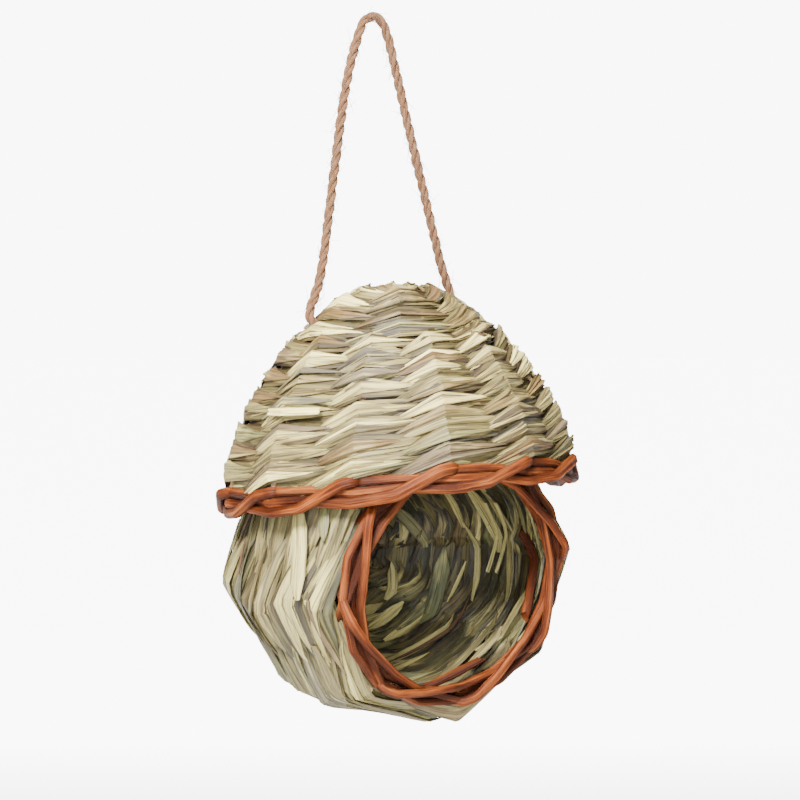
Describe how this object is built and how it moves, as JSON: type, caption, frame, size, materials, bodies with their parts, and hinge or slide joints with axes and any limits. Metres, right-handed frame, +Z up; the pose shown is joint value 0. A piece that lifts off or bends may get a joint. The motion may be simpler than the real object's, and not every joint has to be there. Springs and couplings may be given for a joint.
{
  "type": "hanging woven grass nest house",
  "caption": "Hand-woven hanging nest house: a domed grass roof and a round-mouthed grass nest with willow borders, on a twine loop.",
  "frame": {"origin": "top of the hanging loop, on the twine's centre line, where a hook carries the house", "axes": "+Z up, -Y out of the nest's mouth, +X to the right of someone who looks into the mouth"},
  "size_m": [0.1146, 0.1146, 0.225],
  "materials": {
    "grass": "matte",
    "stake": "matte",
    "willow": "satin",
    "twine": "matte"
  },
  "bodies": {
    "root": {"roof_row_01": "grass", "roof_row_02": "grass", "roof_row_03": "grass", "roof_row_04": "grass", "roof_row_05": "grass", "roof_row_06": "grass", "roof_row_07": "grass", "roof_row_08": "grass", "roof_row_09": "grass", "roof_row_10": "grass", "roof_row_11": "grass", "roof_row_12": "grass", "nest_row_01": "grass", "nest_row_02": "grass", "nest_row_03": "grass", "nest_row_04": "grass", "nest_row_05": "grass", "nest_row_06": "grass", "nest_row_07": "grass", "nest_row_08": "grass", "nest_row_09": "grass", "nest_row_10": "grass", "nest_row_11": "grass", "nest_row_12": "grass", "nest_row_13": "grass", "nest_row_14": "grass", "roof_crown": "grass", "nest_back_disc": "grass", "roof_stake_01": "stake", "roof_stake_02": "stake", "roof_stake_03": "stake", "roof_stake_04": "stake", "roof_stake_05": "stake", "roof_stake_06": "stake", "roof_stake_07": "stake", "roof_stake_08": "stake", "roof_stake_09": "stake", "roof_stake_10": "stake", "roof_stake_11": "stake", "roof_stake_12": "stake", "nest_stake_1": "stake", "nest_stake_2": "stake", "nest_stake_3": "stake", "nest_stake_4": "stake", "nest_stake_5": "stake", "nest_stake_6": "stake", "nest_stake_7": "stake", "nest_stake_8": "stake", "roof_border_rod_1": "willow", "roof_border_rod_2": "willow", "roof_border_rod_3": "willow", "roof_border_rod_4": "willow", "mouth_border_rod_1": "willow", "mouth_border_rod_2": "willow", "mouth_border_rod_3": "willow", "mouth_border_rod_4": "willow", "hanging_twine": "twine", "twine_knot_left": "twine", "twine_knot_right": "twine"}
  },
  "joints": []
}
